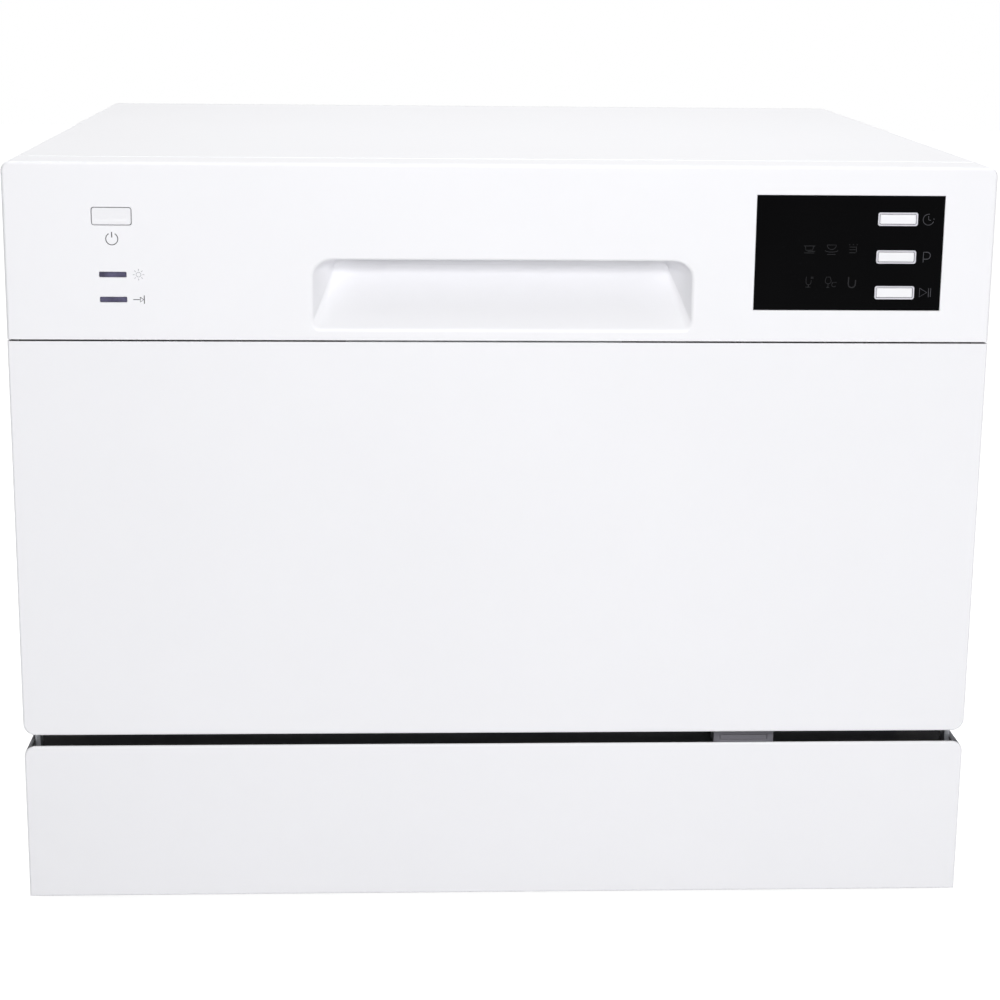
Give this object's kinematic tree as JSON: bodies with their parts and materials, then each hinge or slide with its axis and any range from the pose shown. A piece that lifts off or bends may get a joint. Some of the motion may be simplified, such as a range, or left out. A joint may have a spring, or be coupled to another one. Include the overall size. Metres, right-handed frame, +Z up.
{
  "type": "countertop dishwasher",
  "caption": "Boxy countertop dishwasher with a drop-down door that holds the control panel, a wheeled wire basket that rolls out, a spray arm, a sump and levelling feet.",
  "frame": {"origin": "on the counter, under the middle of the cabinet's outer box", "axes": "+X to the user's right, +Y from the door to the rear, +Z up"},
  "size_m": [0.55, 0.5, 0.438],
  "materials": {
    "painted_white": "satin white powder coat",
    "galvanised": "galvanised sheet",
    "panel_white": "smooth white plastic",
    "button_white": "smooth white plastic",
    "window_black": "black gloss",
    "lens_violet": "tinted lens",
    "tray_black": "moulded black plastic",
    "stainless": "brushed",
    "floor_grey": "moulded plastic",
    "seal_rubber": "matte",
    "foot_rubber": "matte",
    "rail_grey": "moulded plastic",
    "sump_grey": "moulded plastic",
    "filter_steel": "etched sheet",
    "filter_plastic": "moulded plastic",
    "arm_grey": "moulded plastic",
    "pump_black": "moulded plastic",
    "heater_steel": "drawn tube",
    "hose_rubber": "matte",
    "valve_white": "moulded plastic",
    "breather_plastic": "translucent plastic",
    "board_green": "coated board",
    "lock_black": "moulded plastic",
    "dispenser_grey": "moulded plastic",
    "cap_blue": "moulded plastic",
    "zinc_steel": "zinc plated",
    "wire_grey": "coated wire",
    "cutlery_grey": "moulded plastic",
    "wheel_grey": "moulded plastic",
    "guide_grey": "moulded plastic"
  },
  "bodies": {
    "cabinet": {"cabinet_wrap": "painted_white", "rear_panel": "galvanised", "base_tray": "tray_black", "kick_plate": "painted_white", "tub_wrap": "stainless", "tub_back": "stainless", "tub_floor": "floor_grey", "tub_seal": "seal_rubber", "sill_seal": "seal_rubber", "basket_rails": "rail_grey", "sump": "sump_grey", "filter_plate": "filter_steel", "spray_hub": "filter_plastic", "wash_pump": "pump_black", "drain_pump": "pump_black", "water_heater": "heater_steel", "circulation_hose": "hose_rubber", "drain_hose": "hose_rubber", "inlet_valve": "valve_white", "drain_outlet": "pump_black", "inlet_hose": "hose_rubber", "air_breather": "breather_plastic", "cord_gland": "tray_black", "power_box": "pump_black", "door_strike": "zinc_steel", "hinge_brackets": "zinc_steel", "harness_guide": "guide_grey", "body_screws": "zinc_steel"},
    "overflow_float": {"overflow_float": "arm_grey"},
    "filter_cup": {"filter_cup": "filter_plastic"},
    "spray_arm": {"spray_arm": "arm_grey"},
    "foot_front_left": {"foot_front_left": "foot_rubber"},
    "foot_front_right": {"foot_front_right": "foot_rubber"},
    "foot_rear_left": {"foot_rear_left": "foot_rubber"},
    "foot_rear_right": {"foot_rear_right": "foot_rubber"},
    "door": {"door_outer_panel": "painted_white", "control_panel": "panel_white", "display_window": "window_black", "button_frames": "button_white", "indicator_lenses": "lens_violet", "control_board": "board_green", "door_liner": "stainless", "door_lock": "lock_black", "dispenser_body": "dispenser_grey", "hinge_arms": "zinc_steel", "liner_screws": "zinc_steel"},
    "dispenser_lid": {"dispenser_lid": "dispenser_grey"},
    "rinse_cap": {"rinse_cap": "cap_blue"},
    "dispenser_latch": {"dispenser_latch": "cap_blue"},
    "power_button": {"power_button": "button_white"},
    "delay_button": {"delay_button": "button_white"},
    "program_button": {"program_button": "button_white"},
    "start_button": {"start_button": "button_white"},
    "basket": {"basket_frame": "wire_grey"},
    "cutlery_basket": {"cutlery_basket": "cutlery_grey"},
    "cup_shelf": {"cup_shelf": "wire_grey"},
    "wheel_front_left": {"wheel_front_left": "wheel_grey"},
    "wheel_front_right": {"wheel_front_right": "wheel_grey"},
    "wheel_rear_left": {"wheel_rear_left": "wheel_grey"},
    "wheel_rear_right": {"wheel_rear_right": "wheel_grey"}
  },
  "joints": [
    {"name": "door_hinge", "type": "hinge", "parent": "cabinet", "child": "door", "pos_m": [0, -0.241, 0.112], "axis": [1, 0, 0], "range_deg": [0, 90]},
    {"name": "basket_slide", "type": "slide", "parent": "cabinet", "child": "basket", "axis": [0, -1, 0], "range_m": [0, 0.15708]},
    {"name": "wheel_front_left_spin", "type": "hinge", "parent": "basket", "child": "wheel_front_left", "pos_m": [-0.239, -0.1, 0.153], "axis": [1, 0, 0], "range_deg": [0, 750]},
    {"name": "wheel_rear_left_spin", "type": "hinge", "parent": "basket", "child": "wheel_rear_left", "pos_m": [-0.239, 0.12, 0.153], "axis": [1, 0, 0], "range_deg": [0, 750]},
    {"name": "wheel_front_right_spin", "type": "hinge", "parent": "basket", "child": "wheel_front_right", "pos_m": [0.239, -0.1, 0.153], "axis": [1, 0, 0], "range_deg": [0, 750]},
    {"name": "wheel_rear_right_spin", "type": "hinge", "parent": "basket", "child": "wheel_rear_right", "pos_m": [0.239, 0.12, 0.153], "axis": [1, 0, 0], "range_deg": [0, 750]},
    {"name": "spray_arm_spin", "type": "hinge", "parent": "cabinet", "child": "spray_arm", "pos_m": [0, -0.0035, 0.147], "axis": [0, 0, 1], "continuous": true},
    {"name": "filter_twist", "type": "hinge", "parent": "cabinet", "child": "filter_cup", "pos_m": [0, -0.0595, 0.13], "axis": [0, 0, 1], "range_deg": [0, 45]},
    {"name": "float_lift", "type": "slide", "parent": "cabinet", "child": "overflow_float", "axis": [0, 0, 1], "range_m": [0, 0.01]},
    {"name": "foot_front_left_adjust", "type": "slide", "parent": "cabinet", "child": "foot_front_left", "axis": [0, 0, -1], "range_m": [0, 0.008]},
    {"name": "foot_front_right_adjust", "type": "slide", "parent": "cabinet", "child": "foot_front_right", "axis": [0, 0, -1], "range_m": [0, 0.008]},
    {"name": "foot_rear_left_adjust", "type": "slide", "parent": "cabinet", "child": "foot_rear_left", "axis": [0, 0, -1], "range_m": [0, 0.008]},
    {"name": "foot_rear_right_adjust", "type": "slide", "parent": "cabinet", "child": "foot_rear_right", "axis": [0, 0, -1], "range_m": [0, 0.008]},
    {"name": "dispenser_lid_hinge", "type": "hinge", "parent": "door", "child": "dispenser_lid", "pos_m": [0.023, -0.2063, 0.328], "axis": [1, 0, 0], "range_deg": [0, 100]},
    {"name": "rinse_cap_turn", "type": "hinge", "parent": "door", "child": "rinse_cap", "pos_m": [-0.046, -0.205, 0.293], "axis": [0, 1, 0], "range_deg": [0, 90]},
    {"name": "latch_slide", "type": "slide", "parent": "door", "child": "dispenser_latch", "axis": [1, 0, 0], "range_m": [0, 0.005]},
    {"name": "power_press", "type": "slide", "parent": "door", "child": "power_button", "axis": [0, 1, 0], "range_m": [0, 0.002], "stiffness_N_per_m": 400, "springref_m": -0.002},
    {"name": "delay_press", "type": "slide", "parent": "door", "child": "delay_button", "axis": [0, 1, 0], "range_m": [0, 0.0012], "stiffness_N_per_m": 400, "springref_m": -0.002},
    {"name": "program_press", "type": "slide", "parent": "door", "child": "program_button", "axis": [0, 1, 0], "range_m": [0, 0.0012], "stiffness_N_per_m": 400, "springref_m": -0.002},
    {"name": "start_press", "type": "slide", "parent": "door", "child": "start_button", "axis": [0, 1, 0], "range_m": [0, 0.0012], "stiffness_N_per_m": 400, "springref_m": -0.002},
    {"name": "cutlery_lift", "type": "slide", "parent": "basket", "child": "cutlery_basket", "axis": [0, 0, 1], "range_m": [0, 0.1]},
    {"name": "cup_shelf_fold", "type": "hinge", "parent": "basket", "child": "cup_shelf", "pos_m": [-0.227, -0.0035, 0.2505], "axis": [0, -1, 0], "range_deg": [0, 85]}
  ],
  "couplings": [
    {"joint": "basket_slide", "follows": "door_hinge", "m_per_rad": 0.1},
    {"joint": "wheel_front_left_spin", "follows": "door_hinge", "ratio": 8.3333},
    {"joint": "wheel_rear_left_spin", "follows": "door_hinge", "ratio": 8.3333},
    {"joint": "wheel_front_right_spin", "follows": "door_hinge", "ratio": 8.3333},
    {"joint": "wheel_rear_right_spin", "follows": "door_hinge", "ratio": 8.3333}
  ]
}
